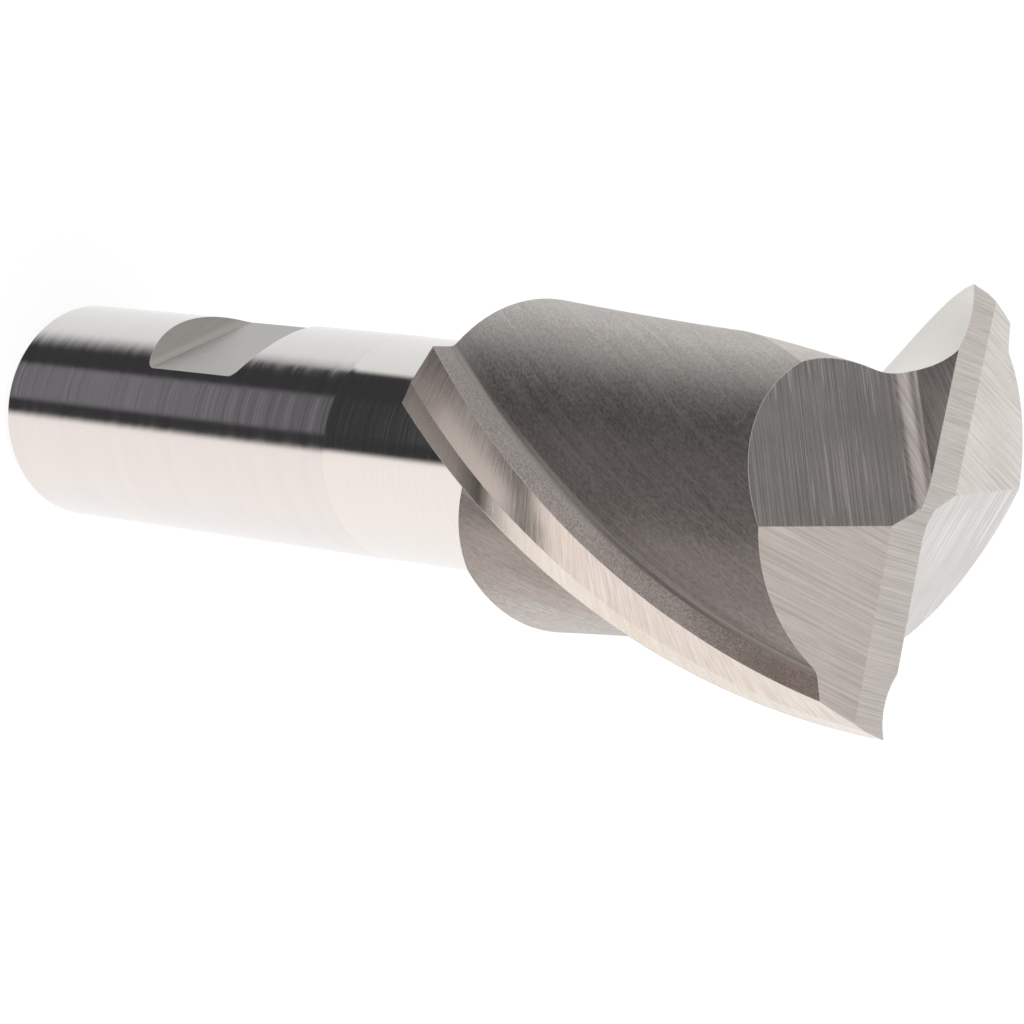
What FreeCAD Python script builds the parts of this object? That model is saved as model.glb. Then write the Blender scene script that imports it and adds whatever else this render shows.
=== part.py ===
import FreeCAD, Part
import math
import os
import Sketcher

doc = FreeCAD.newDocument("square_end_mill")
Vector = FreeCAD.Vector
Rotation = FreeCAD.Rotation
Placement = FreeCAD.Placement
START, END, CENTRE = range(1, 4)
X_AXIS, Y_AXIS, Z_AXIS = Vector(1, 0, 0), Vector(0, 1, 0), Vector(0, 0, 1)


# Driving dimensions in millimetres and degrees: name, value, meaning
DIMENSIONS = [
    ("overall_length", 107.95, "rear face to the outer cutting corners"),
    ("shank_diameter", 19.05, "three quarter inch shank"),
    ("shank_length", 46.6, "ground part that the holder grips"),
    ("shank_chamfer", 0.45, "rear chamfer, measured on the radius"),
    ("shank_chamfer_angle", 30.0, "rear chamfer, measured from the axis"),
    ("neck_step", 0.05, "neck below the ground shank, measured on the radius"),
    ("neck_taper", 0.8, "run from the ground shank down to the neck"),
    ("neck_flare", 0.45, "small cone where the neck meets the head"),
    ("centre_mouth", 5.3, "mouth of the centre hole in the rear face"),
    ("centre_angle", 60.0, "included angle of the centre hole's cone"),
    ("centre_pilot", 2.5, "pilot bore of the centre hole"),
    ("centre_depth", 6.0, "depth of the pilot bore"),
    ("centre_point", 118.0, "included angle at the bottom of the pilot bore"),
    ("flat_depth", 1.905, "floor of the flat below the round of the shank"),
    ("flat_length", 12.0, "floor of the flat along the axis"),
    ("flat_centre", 25.8, "rear face to the middle of the flat"),
    ("flat_wall_angle", 45.0, "end walls of the flat, from its floor"),
    ("flat_fillet", 1.5, "radius between the floor and the end walls"),
    ("flat_turn", 212.5, "direction of the flat, from the first cutting corner"),
    ("cut_diameter", 34.925, "across the two outer cutting corners"),
    ("head_length", 42.5, "outer corners to the rear face of the head"),
    ("flute_lead", 160.0, "travel of one full turn of the helix"),
    ("margin_width", 1.8, "primary land behind the helical edge"),
    ("margin_relief", 9.7, "primary clearance angle"),
    ("land_width", 3.6, "secondary land"),
    ("land_relief", 19.0, "secondary clearance angle"),
    ("heel_slope", 17.0, "slope of the heel band, from the tooth's centre line"),
    ("heel_fillet", 1.2, "radius between the heel band and the core"),
    ("flute_depth", 3.56, "convex arc of the core below the cutting circle"),
    ("core_ahead", 1.7, "centre of the core arc, along the tooth"),
    ("core_aside", 0.8, "centre of the core arc, across the tooth"),
    ("crease_turn", 60.0, "crease between core and hook, ahead of the edge"),
    ("shoulder_radius", 9.0, "convex shoulder between crease and hook"),
    ("hook_radius", 6.1, "concave hook under the rake face"),
    ("radial_rake", 22.5, "rake angle at the helical edge"),
    ("end_stock", 1.0, "length of head blank that the end grinding removes"),
    ("end_dish", 0.94, "fall of the end edges towards the axis, as an angle"),
    ("end_margin", 3.0, "width of the primary end relief"),
    ("end_relief", 5.5, "primary end relief angle"),
    ("end_clearance", 18.5, "secondary end relief angle"),
    ("edge_ahead", 0.15, "end edges ahead of the axis"),
    ("gash_fall", 26.1, "fall of the gash from the axis outwards"),
    ("gash_slope", 21.6, "fall of the gash floor away from its wall"),
    ("gash_depth", 0.14, "gash floor below the tip plane, at its wall on the axis"),
    ("gash_fillet", 1.6, "radius between the gash floor and its wall"),
]

sheet = doc.addObject("Spreadsheet::Sheet", "sizes")
for row, (alias, value, meaning) in enumerate(DIMENSIONS, start=1):
    sheet.set("A%d" % row, alias)
    sheet.set("B%d" % row, str(value))
    sheet.set("C%d" % row, meaning)
    sheet.setAlias("B%d" % row, alias)
doc.recompute()
size = {alias: float(value) for alias, value, meaning in DIMENSIONS}
head_start = size["overall_length"] - size["head_length"]
cut_radius = size["cut_diameter"] / 2
shank_radius = size["shank_diameter"] / 2

body = doc.addObject("PartDesign::Body", "end_mill")
body.Label = "end_mill"


def origin_plane(role):
    """The body's own origin plane or axis with this role."""
    return next(item for item in body.Origin.OriginFeatures if item.Role == role)


def new_sketch(name, plane_role):
    """A sketch of the body on one of its origin planes."""
    sketch = body.newObject("Sketcher::SketchObject", name)
    sketch.AttachmentSupport = [(origin_plane(plane_role), "")]
    sketch.MapMode = "FlatFace"
    return sketch


def place_sketch(sketch, base, axis, angle):
    """Offset of a sketch from its plane: base is (x, y, z), angle in degrees, all as expressions."""
    sketch.AttachmentOffset = Placement(Vector(0, 0, 0), Rotation(axis, 10))
    for key, text in zip("xyz", base):
        sketch.setExpression("AttachmentOffset.Base." + key, text)
    sketch.setExpression("AttachmentOffset.Rotation.Angle", angle)


def new_feature(kind, name, profile):
    """A feature of the body that keeps its faces as they are drawn."""
    feature = body.newObject("PartDesign::" + kind, name)
    feature.Profile = profile
    feature.Refine = False
    return feature


def polar(length, angle):
    """A vector of this length, angle in degrees from X."""
    return Vector(length * math.cos(math.radians(angle)), length * math.sin(math.radians(angle)), 0)


def add_line(sketch, start, end, construction=False):
    return sketch.addGeometry(Part.LineSegment(Vector(*start), Vector(*end)), construction)


def add_arc(sketch, centre, start, end):
    """An arc that runs counter-clockwise from start to end."""
    first = math.atan2(start[1] - centre[1], start[0] - centre[0])
    last = math.atan2(end[1] - centre[1], end[0] - centre[0])
    circle = Part.Circle(Vector(*centre), Z_AXIS, math.dist(centre, start))
    return sketch.addGeometry(Part.ArcOfCircle(circle, first, last), False)


def add_outline(sketch, points):
    """A closed run of straight lines through the points, joined at their ends."""
    lines = [add_line(sketch, a, b) for a, b in zip(points, points[1:] + points[:1])]
    join(sketch, [(a, END, b, START) for a, b in zip(lines, lines[1:] + lines[:1])])
    return lines


def join(sketch, joints, kind="Coincident"):
    """Ends that meet, each joint given as (piece, end, piece, end)."""
    for joint in joints:
        sketch.addConstraint(Sketcher.Constraint(kind, *joint))


def dimension(sketch, name, text, *arguments):
    """A named constraint that takes its value from the sheet."""
    index = sketch.addConstraint(Sketcher.Constraint(*arguments))
    sketch.renameConstraint(index, name)
    sketch.setExpression("Constraints." + name, text)


def set_straight(sketch, kind, lines):
    """Lines that run Horizontal or Vertical."""
    for line in lines:
        sketch.addConstraint(Sketcher.Constraint(kind, line))


def check(feature):
    """Stop where a feature could not be made."""
    doc.recompute()
    broken = [item.Label for item in doc.Objects if {"Invalid", "Error"} & set(item.State)]
    if broken or feature.Shape.isNull() or not feature.Shape.isValid():
        raise RuntimeError("%s failed: %s" % (feature.Label, broken))


# Shank and neck, turned and ground from the bar. The ground wall is drawn in
# two runs that meet beside the middle of the flat.
def turn_shank():
    neck, flare = shank_radius - size["neck_step"], size["neck_flare"]
    chamfer, slope = size["shank_chamfer"], math.radians(size["shank_chamfer_angle"])
    ground, taper = size["shank_length"], size["neck_taper"]
    points = [
        (0, 0),
        (shank_radius - chamfer, 0),
        (shank_radius, chamfer / math.tan(slope)),
        (shank_radius, size["flat_centre"]),
        (shank_radius, ground),
        (neck, ground + taper),
        (neck, head_start - flare),
        (neck + flare, head_start),
        (0, head_start),
    ]
    sketch = new_sketch("shank_profile", "XZ_Plane")
    rear, bevel, rear_wall, front_wall, run_out, neck_wall, cone, top, axis = add_outline(sketch, points)
    join(sketch, [(rear, START, -1, START)])
    set_straight(sketch, "Horizontal", (rear, top))
    set_straight(sketch, "Vertical", (rear_wall, front_wall, neck_wall, axis))
    dimension(sketch, "radius", "sizes.shank_diameter / 2",
              "DistanceX", -1, START, rear_wall, START, shank_radius)
    dimension(sketch, "rear_radius", "sizes.shank_diameter / 2 - sizes.shank_chamfer",
              "DistanceX", -1, START, rear, END, shank_radius - chamfer)
    dimension(sketch, "chamfer_angle", "90 - sizes.shank_chamfer_angle",
              "Angle", bevel, math.pi / 2 - slope)
    dimension(sketch, "beside_flat", "sizes.flat_centre",
              "DistanceY", -1, START, rear_wall, END, size["flat_centre"])
    dimension(sketch, "ground", "sizes.shank_length", "DistanceY", -1, START, front_wall, END, ground)
    dimension(sketch, "taper", "sizes.neck_taper", "DistanceY", run_out, taper)
    dimension(sketch, "neck", "sizes.shank_diameter / 2 - sizes.neck_step",
              "DistanceX", -1, START, neck_wall, START, neck)
    dimension(sketch, "flare", "sizes.neck_flare", "DistanceX", cone, flare)
    dimension(sketch, "flare_length", "sizes.neck_flare", "DistanceY", cone, flare)
    dimension(sketch, "head_start", "sizes.overall_length - sizes.head_length",
              "DistanceY", -1, START, top, START, head_start)
    shank = new_feature("Revolution", "shank", sketch)
    shank.ReferenceAxis = (sketch, ["V_Axis"])
    shank.Angle = 360
    check(shank)


def meet_circle(start, way, centre, radius, sign):
    """Where a line from start meets a circle: sign is -1 for the first crossing and 1 for the last."""
    offset = start - centre
    along = offset.dot(way)
    return start + way * (sign * math.sqrt(along ** 2 - offset.dot(offset) + radius ** 2) - along)


def section_points():
    """Corners and arc centres of the first half of the head's section."""
    core = Vector(size["core_ahead"], size["core_aside"], 0)
    core_radius = cut_radius - size["flute_depth"]
    fillet, hook_radius, shoulder_radius = size["heel_fillet"], size["hook_radius"], size["shoulder_radius"]

    # edge, lands and heel
    point = {"core": core, "corner": polar(cut_radius, 0), "far_corner": polar(cut_radius, 180)}
    point["land"] = point["corner"] + polar(size["margin_width"], -90 - size["margin_relief"])
    point["heel"] = point["land"] + polar(size["land_width"], -90 - size["land_relief"])
    inwards = polar(1, 180 + size["heel_slope"])
    outside = polar(fillet, size["heel_slope"] - 90)
    centre = meet_circle(point["heel"] + outside, inwards, core, core_radius + fillet, -1)
    point["fillet"] = centre
    point["valley"] = centre - outside
    point["root"] = core + (centre - core) * (core_radius / (core_radius + fillet))

    # crease, shoulder and hook
    ahead = polar(1, 180 + size["crease_turn"])
    point["crease"] = meet_circle(Vector(0, 0, 0), ahead, core, core_radius, 1)
    point["rake"] = point["far_corner"] - polar(hook_radius, 90 + size["radial_rake"])
    across = point["crease"] - point["rake"]
    span = across.Length
    centres = hook_radius + shoulder_radius
    along = (centres ** 2 - shoulder_radius ** 2 + span ** 2) / (2 * span)
    aside = math.sqrt(centres ** 2 - along ** 2)
    square = Vector(-across.y, across.x, 0)
    point["shoulder"] = point["rake"] + (across * along + square * aside) * (1 / span)
    point["hook"] = point["rake"] + (point["shoulder"] - point["rake"]) * (hook_radius / centres)
    return point


# Section across the two teeth: each half runs from one cutting corner, over
# its lands, heel and core, down the hook to the other cutting corner
def draw_half(sketch, point, side):
    """Lines and arcs of one half; side is 1 for the first tooth and -1 for the second."""
    at = {name: tuple(place * side) for name, place in point.items()}
    half = {
        "margin": add_line(sketch, at["land"], at["corner"]),
        "land": add_line(sketch, at["heel"], at["land"]),
        "heel": add_line(sketch, at["valley"], at["heel"]),
        "fillet": add_arc(sketch, at["fillet"], at["valley"], at["root"]),
        "core": add_arc(sketch, at["core"], at["crease"], at["root"]),
        "shoulder": add_arc(sketch, at["shoulder"], at["hook"], at["crease"]),
        "rake": add_arc(sketch, at["rake"], at["hook"], at["far_corner"]),
    }
    join(sketch, [(half["land"], END, half["margin"], START), (half["heel"], END, half["land"], START),
                  (half["core"], START, half["shoulder"], END)])
    return half


def draw_section():
    sketch = new_sketch("head_section", "XY_Plane")
    place_sketch(sketch, ("0", "0", "sizes.overall_length - sizes.head_length"), Z_AXIS,
                 "-360 * sizes.head_length / sizes.flute_lead")
    point = section_points()
    one, two = draw_half(sketch, point, 1), draw_half(sketch, point, -1)

    # the first half carries the dimensions
    join(sketch, [(one["heel"], START, one["fillet"], START), (one["fillet"], END, one["core"], END),
                  (one["shoulder"], START, one["rake"], START)], "Tangent")
    sketch.addConstraint(Sketcher.Constraint("PointOnObject", one["margin"], END, -1))
    sketch.addConstraint(Sketcher.Constraint("Coincident", one["rake"], END, two["margin"], END))
    dimension(sketch, "corner", "sizes.cut_diameter / 2",
              "DistanceX", -1, START, one["margin"], END, cut_radius)
    dimension(sketch, "margin_width", "sizes.margin_width", "Distance", one["margin"], size["margin_width"])
    dimension(sketch, "margin_turn", "90 - sizes.margin_relief",
              "Angle", one["margin"], math.radians(90 - size["margin_relief"]))
    dimension(sketch, "land_width", "sizes.land_width", "Distance", one["land"], size["land_width"])
    dimension(sketch, "land_turn", "90 - sizes.land_relief",
              "Angle", one["land"], math.radians(90 - size["land_relief"]))
    dimension(sketch, "heel_turn", "sizes.heel_slope",
              "Angle", one["heel"], math.radians(size["heel_slope"]))
    dimension(sketch, "heel_fillet", "sizes.heel_fillet", "Radius", one["fillet"], size["heel_fillet"])
    dimension(sketch, "core_radius", "sizes.cut_diameter / 2 - sizes.flute_depth",
              "Radius", one["core"], cut_radius - size["flute_depth"])
    dimension(sketch, "core_ahead", "sizes.core_ahead",
              "DistanceX", -1, START, one["core"], CENTRE, size["core_ahead"])
    dimension(sketch, "core_aside", "sizes.core_aside",
              "DistanceY", -1, START, one["core"], CENTRE, size["core_aside"])
    ray = add_line(sketch, point["crease"], (0, 0), True)
    join(sketch, [(ray, END, -1, START), (ray, START, one["core"], START)])
    dimension(sketch, "crease_turn", "sizes.crease_turn", "Angle", ray, math.radians(size["crease_turn"]))
    dimension(sketch, "shoulder_radius", "sizes.shoulder_radius",
              "Radius", one["shoulder"], size["shoulder_radius"])
    dimension(sketch, "hook_radius", "sizes.hook_radius", "Radius", one["rake"], size["hook_radius"])
    spoke = add_line(sketch, point["rake"], point["far_corner"], True)
    join(sketch, [(spoke, START, one["rake"], CENTRE), (spoke, END, one["rake"], END)])
    dimension(sketch, "rake_turn", "90 + sizes.radial_rake",
              "Angle", spoke, math.radians(90 + size["radial_rake"]))

    # the second half is the first one turned half round the axis
    join(sketch, [(two["rake"], END, one["margin"], END), (two["heel"], START, two["fillet"], START),
                  (two["fillet"], END, two["core"], END), (two["shoulder"], START, two["rake"], START)])
    for piece, end in (("margin", START), ("margin", END), ("land", START), ("heel", START),
                       ("fillet", END), ("core", START), ("shoulder", START)):
        sketch.addConstraint(
            Sketcher.Constraint("Symmetric", one[piece], end, two[piece], end, -1, START))
    for piece in ("fillet", "core", "shoulder", "rake"):
        sketch.addConstraint(Sketcher.Constraint("Equal", one[piece], two[piece]))
    return sketch


# Head: the section carried along the axis while a helix turns it
def grind_flutes():
    section = draw_section()
    travel = size["head_length"] + size["end_stock"]
    path = new_sketch("head_path", "XZ_Plane")
    line = add_line(path, (0, head_start), (0, head_start + travel))
    path.addConstraint(Sketcher.Constraint("PointOnObject", line, START, -2))
    path.addConstraint(Sketcher.Constraint("Vertical", line))
    dimension(path, "start", "sizes.overall_length - sizes.head_length",
              "DistanceY", -1, START, line, START, head_start)
    dimension(path, "travel", "sizes.head_length + sizes.end_stock", "DistanceY", line, travel)

    helix = doc.addObject("Part::Helix", "flute_helix")
    helix.setExpression("Pitch", "sizes.flute_lead")
    helix.setExpression("Height", "sizes.head_length + sizes.end_stock")
    helix.setExpression("Radius", "sizes.cut_diameter / 2")
    helix.setExpression("Placement.Base.z", "sizes.overall_length - sizes.head_length")
    doc.recompute()

    head = new_feature("AdditivePipe", "head", section)
    head.Spine = (path, ["Edge1"])
    head.Mode = "Auxiliary"
    head.AuxiliarySpine = (helix, ["Edge1"])
    head.AuxiliaryCurvilinear = False
    check(head)


# Clamping flat, milled across the shank with sloping end walls
def mill_flat():
    sketch = new_sketch("flat_profile", "XZ_Plane")
    place_sketch(sketch, ("0", "0", "0"), Y_AXIS, "sizes.flat_turn")
    depth, angle = size["flat_depth"], math.radians(size["flat_wall_angle"])
    floor, outside = shank_radius - depth, shank_radius + depth
    middle, half = size["flat_centre"], size["flat_length"] / 2
    spread = half + 2 * depth / math.tan(angle)
    low, outer, high, inner = add_outline(sketch, [
        (floor, middle - half),
        (outside, middle - spread),
        (outside, middle + spread),
        (floor, middle + half),
    ])
    set_straight(sketch, "Vertical", (outer, inner))
    dimension(sketch, "floor", "sizes.shank_diameter / 2 - sizes.flat_depth",
              "DistanceX", -1, START, inner, START, floor)
    dimension(sketch, "outside", "sizes.shank_diameter / 2 + sizes.flat_depth",
              "DistanceX", -1, START, outer, START, outside)
    dimension(sketch, "length", "sizes.flat_length", "Distance", inner, size["flat_length"])
    dimension(sketch, "foot", "sizes.flat_centre - sizes.flat_length / 2",
              "DistanceY", -1, START, low, START, middle - half)
    dimension(sketch, "low_wall", "-sizes.flat_wall_angle", "Angle", low, -angle)
    dimension(sketch, "high_wall", "180 + sizes.flat_wall_angle", "Angle", high, math.pi + angle)
    flat = new_feature("Pocket", "flat", sketch)
    flat.Midplane = True
    flat.setExpression("Length", "2 * sizes.shank_diameter")
    check(flat)
    foot_edges = [
        "Edge%d" % number
        for number, edge in enumerate(flat.Shape.Edges, start=1)
        if edge.Curve.TypeId == "Part::GeomLine"
        and math.isclose(abs(edge.CenterOfMass.z - middle), half, abs_tol=0.001)
    ]
    blend = body.newObject("PartDesign::Fillet", "flat_blend")
    blend.Refine = False
    blend.Base = (flat, foot_edges)
    blend.setExpression("Radius", "sizes.flat_fillet")
    check(blend)


# Centre hole in the rear face, left from grinding between centres
def drill_centre():
    sketch = new_sketch("centre_profile", "XZ_Plane")
    mouth, pilot, depth = size["centre_mouth"] / 2, size["centre_pilot"] / 2, size["centre_depth"]
    cone, point = math.radians(size["centre_angle"] / 2), math.radians(size["centre_point"] / 2)
    base, wall, bore, tip, axis = add_outline(sketch, [
        (0, 0),
        (mouth, 0),
        (pilot, (mouth - pilot) / math.tan(cone)),
        (pilot, depth),
        (0, depth + pilot / math.tan(point)),
    ])
    join(sketch, [(base, START, -1, START)])
    set_straight(sketch, "Horizontal", [base])
    set_straight(sketch, "Vertical", (bore, axis))
    dimension(sketch, "mouth", "sizes.centre_mouth / 2", "DistanceX", base, mouth)
    dimension(sketch, "pilot", "sizes.centre_pilot / 2", "DistanceX", -1, START, bore, START, pilot)
    dimension(sketch, "depth", "sizes.centre_depth", "DistanceY", -1, START, bore, END, depth)
    dimension(sketch, "cone", "90 + sizes.centre_angle / 2", "Angle", wall, math.pi / 2 + cone)
    dimension(sketch, "point", "90 + sizes.centre_point / 2", "Angle", tip, math.pi / 2 + point)
    hole = new_feature("Groove", "centre_hole", sketch)
    hole.ReferenceAxis = (sketch, ["V_Axis"])
    hole.Angle = 360
    check(hole)


# End relief of the first tooth: two planes that fall away behind the edge
def relieve_end():
    sketch = new_sketch("end_relief_profile", "YZ_Plane")
    place_sketch(sketch, ("0", "sizes.overall_length - tan(sizes.end_dish) * sizes.cut_diameter / 2", "0"),
                 X_AXIS, "-sizes.end_dish")
    primary, secondary = math.radians(size["end_relief"]), math.radians(size["end_clearance"])
    width, back = size["end_margin"], size["cut_diameter"]
    front, high = size["gash_fillet"], 3 * size["end_stock"]
    step = width * math.tan(primary)
    low, left, top, right, margin = add_outline(sketch, [
        (-width, -step),
        (-back, -step - (back - width) * math.tan(secondary)),
        (-back, high),
        (front, high),
        (front, front * math.tan(primary)),
    ])
    set_straight(sketch, "Vertical", (left, right))
    set_straight(sketch, "Horizontal", [top])
    sketch.addConstraint(Sketcher.Constraint("PointOnObject", -1, START, margin))
    dimension(sketch, "primary", "180 + sizes.end_relief", "Angle", margin, math.pi + primary)
    dimension(sketch, "secondary", "180 + sizes.end_clearance", "Angle", low, math.pi + secondary)
    dimension(sketch, "width", "sizes.end_margin", "DistanceX", low, START, -1, START, width)
    dimension(sketch, "back", "sizes.cut_diameter", "DistanceX", left, START, -1, START, back)
    dimension(sketch, "front", "sizes.gash_fillet", "DistanceX", -1, START, right, END, front)
    dimension(sketch, "high", "3 * sizes.end_stock", "DistanceY", -1, START, top, START, high)
    relief = new_feature("Pocket", "end_relief", sketch)
    relief.Reversed = True
    relief.setExpression("Length", "sizes.cut_diameter")
    check(relief)
    return relief


# Gash of the first tooth: a wall under the end edge and a floor that falls
# away from it and from the axis
def cut_gash():
    sketch = new_sketch("gash_profile", "YZ_Plane")
    place_sketch(sketch, ("0", "sizes.overall_length - sizes.gash_depth", "0"), X_AXIS, "sizes.gash_fall")
    slope, radius, ahead = math.radians(size["gash_slope"]), size["gash_fillet"], size["edge_ahead"]
    reach, high = size["cut_diameter"], size["cut_diameter"]
    drop = radius * math.tan((math.pi / 2 - slope) / 2)
    wall_foot = (ahead, drop)
    floor_foot = (ahead + drop * math.cos(slope), -drop * math.sin(slope))
    far_end = (reach, -(reach - ahead) * math.tan(slope))
    wall = add_line(sketch, (ahead, high), wall_foot)
    bend = add_arc(sketch, (ahead + radius, drop), wall_foot, floor_foot)
    floor = add_line(sketch, floor_foot, far_end)
    side = add_line(sketch, far_end, (reach, high))
    top = add_line(sketch, (reach, high), (ahead, high))
    join(sketch, [(floor, END, side, START), (side, END, top, START), (top, END, wall, START)])
    join(sketch, [(wall, END, bend, START), (bend, END, floor, START)], "Tangent")
    set_straight(sketch, "Vertical", (wall, side))
    set_straight(sketch, "Horizontal", [top])
    dimension(sketch, "ahead", "sizes.edge_ahead", "DistanceX", -1, START, wall, START, ahead)
    dimension(sketch, "slope", "-sizes.gash_slope", "Angle", floor, -slope)
    dimension(sketch, "fillet", "sizes.gash_fillet", "Radius", bend, radius)
    dimension(sketch, "reach", "sizes.cut_diameter", "DistanceX", -1, START, side, START, reach)
    dimension(sketch, "high", "sizes.cut_diameter", "DistanceY", -1, START, top, START, high)

    # the floor, drawn on to the wall, meets it on the sketch's own axis
    foot = sketch.addGeometry(Part.Point(Vector(ahead, 0, 0)), True)
    for line in (-1, wall, floor):
        sketch.addConstraint(Sketcher.Constraint("PointOnObject", foot, START, line))
    gash = new_feature("Pocket", "gash", sketch)
    gash.Midplane = True
    gash.setExpression("Length", "3 * sizes.cut_diameter")
    check(gash)
    return gash


# The same end grinding on the second tooth
def repeat_end(features):
    pattern = body.newObject("PartDesign::PolarPattern", "end_pair")
    pattern.Originals = features
    pattern.Axis = (origin_plane("Z_Axis"), [""])
    pattern.Angle = 360
    pattern.Occurrences = 2
    pattern.Refine = False
    body.Tip = pattern
    check(pattern)


turn_shank()
grind_flutes()
mill_flat()
drill_centre()
relief = relieve_end()
gash = cut_gash()
repeat_end([relief, gash])

os.makedirs("parts", exist_ok=True)
body.Shape.exportStep("parts/end_mill.step")
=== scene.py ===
import math

import bpy
from mathutils import Matrix, Vector


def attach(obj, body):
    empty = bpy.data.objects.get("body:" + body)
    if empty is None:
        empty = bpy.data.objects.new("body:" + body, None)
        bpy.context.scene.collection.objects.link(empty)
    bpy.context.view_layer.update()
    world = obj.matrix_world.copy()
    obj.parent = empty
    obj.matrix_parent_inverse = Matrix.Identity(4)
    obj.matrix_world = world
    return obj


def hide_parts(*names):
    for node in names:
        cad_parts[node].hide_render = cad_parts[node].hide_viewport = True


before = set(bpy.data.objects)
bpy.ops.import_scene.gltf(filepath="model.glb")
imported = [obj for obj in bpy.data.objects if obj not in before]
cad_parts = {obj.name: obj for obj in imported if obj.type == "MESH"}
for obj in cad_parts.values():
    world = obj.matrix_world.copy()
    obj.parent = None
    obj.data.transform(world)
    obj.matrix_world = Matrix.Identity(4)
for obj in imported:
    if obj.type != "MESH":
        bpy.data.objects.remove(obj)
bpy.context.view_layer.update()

MM = 0.001

# Sizes of the tool, in millimetres and degrees, as in the part's own model
OVERALL, HEAD_LENGTH, CUT_RADIUS = 107.95, 42.5, 34.925 / 2
HEAD_START = OVERALL - HEAD_LENGTH
LEAD, END_STOCK = 160.0, 1.0
SHANK_RADIUS, SHANK_LENGTH, CHAMFER, CHAMFER_ANGLE = 19.05 / 2, 46.6, 0.45, 30.0
NECK_RADIUS, NECK_TAPER, NECK_FLARE, INTO_HEAD = SHANK_RADIUS - 0.05, 0.8, 0.45, 1.0
CENTRE_MOUTH, CENTRE_PILOT, CENTRE_DEPTH = 5.3 / 2, 2.5 / 2, 6.0
CENTRE_CONE, CENTRE_POINT = 60.0 / 2, 118.0 / 2
FLAT_DEPTH, FLAT_HALF, FLAT_CENTRE, FLAT_TURN = 1.905, 6.0, 25.8, 212.5
FLAT_WALL, FLAT_FILLET = 45.0, 1.5
MARGIN_WIDTH, MARGIN_RELIEF, LAND_WIDTH, LAND_RELIEF = 1.8, 9.7, 3.6, 19.0
HEEL_SLOPE, HEEL_FILLET = 17.0, 1.2
CORE_CENTRE, CORE_RADIUS = Vector((1.7, 0.8)), CUT_RADIUS - 3.56
CREASE_TURN, SHOULDER_RADIUS, HOOK_RADIUS, RADIAL_RAKE = 60.0, 9.0, 6.1, 22.5
END_DISH, END_MARGIN, END_RELIEF, END_CLEARANCE = 0.94, 3.0, 5.5, 18.5
EDGE_AHEAD, GASH_FALL, GASH_SLOPE, GASH_DEPTH, GASH_FILLET = 0.15, 26.1, 21.6, 0.14, 1.6

# How finely the helix and the round shank are stepped, and how near, in metres, two vertices are made one
HEAD_STEPS, SHANK_STEPS, WELD = 110, 256, 1e-7


# Modelling helpers

def polar(length, angle):
    """A flat vector of this length, angle in degrees from X."""
    return Vector((length * math.cos(math.radians(angle)), length * math.sin(math.radians(angle))))


def arc(centre, start, end, steps, turn=1):
    """Points from start to end round a centre, without the last: turn is 1 for counter-clockwise."""
    first = math.atan2(*(start - centre).yx)
    sweep = (turn * (math.atan2(*(end - centre).yx) - first)) % math.tau
    radius = (start - centre).length
    angles = [math.degrees(first + turn * sweep * step / steps) for step in range(steps)]
    return [centre + polar(radius, angle) for angle in angles]


def meet_circle(start, way, centre, radius, sign):
    """Where a line from start meets a circle: sign is -1 for the first crossing and 1 for the last."""
    offset = start - centre
    along = offset.dot(way)
    return start + way * (sign * math.sqrt(along ** 2 - offset.length_squared + radius ** 2) - along)


def select_only(piece):
    """Selects one piece and makes it the active one."""
    bpy.ops.object.select_all(action="DESELECT")
    piece.select_set(True)
    bpy.context.view_layer.objects.active = piece


def outline(name, points, filled):
    """A ring of vertices through the points: filled is a flat face, otherwise edges alone."""
    bpy.ops.object.select_all(action="DESELECT")
    fill = "NGON" if filled else "NOTHING"
    bpy.ops.mesh.primitive_circle_add(vertices=len(points), fill_type=fill)
    piece = bpy.context.object
    piece.name = name
    for vertex, point in zip(piece.data.vertices, points):
        vertex.co = Vector(point).to_3d() * MM
    return piece


def edit(*steps):
    """Edit-mode operators on the active mesh, each given as (operator, settings), each on all of it."""
    bpy.ops.object.mode_set(mode="EDIT")
    for operator, settings in steps:
        bpy.ops.mesh.select_all(action="SELECT")
        operator(**settings)
    bpy.ops.object.mode_set(mode="OBJECT")


def apply(piece, kind, **settings):
    """One modifier with its settings, applied."""
    modifier = piece.modifiers.new(kind.lower(), kind)
    for key, value in settings.items():
        setattr(modifier, key, value)
    bpy.context.view_layer.objects.active = piece
    bpy.ops.object.modifier_apply(modifier=modifier.name)


def place(piece, matrix):
    """Moves the mesh by a matrix in millimetres and leaves the object at the origin."""
    matrix = matrix.copy()
    matrix.translation = matrix.translation * MM
    piece.matrix_world = matrix
    select_only(piece)
    bpy.ops.object.transform_apply(location=True, rotation=True, scale=True)


def prism(name, points, finishes, thickness, matrix):
    """A flat outline made thick along its own Z, each run with its finish, then placed."""
    piece = outline(name, points, True)
    thicken = {"value": (0, 0, thickness * MM)}
    edit((bpy.ops.mesh.extrude_region_move, {"TRANSFORM_OT_translate": thicken}))
    name_surfaces(piece, points, finishes, lambda centre: centre.xy)
    place(piece, matrix)
    edit((bpy.ops.mesh.normals_make_consistent, {"inside": False}))
    return piece


def combine(piece, other, operation):
    """Cuts the other piece away or welds it on, and deletes it. Each surface keeps its finish."""
    apply(piece, "BOOLEAN", operation=operation, solver="EXACT", material_mode="INDEX", object=other)
    bpy.data.objects.remove(other)


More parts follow.
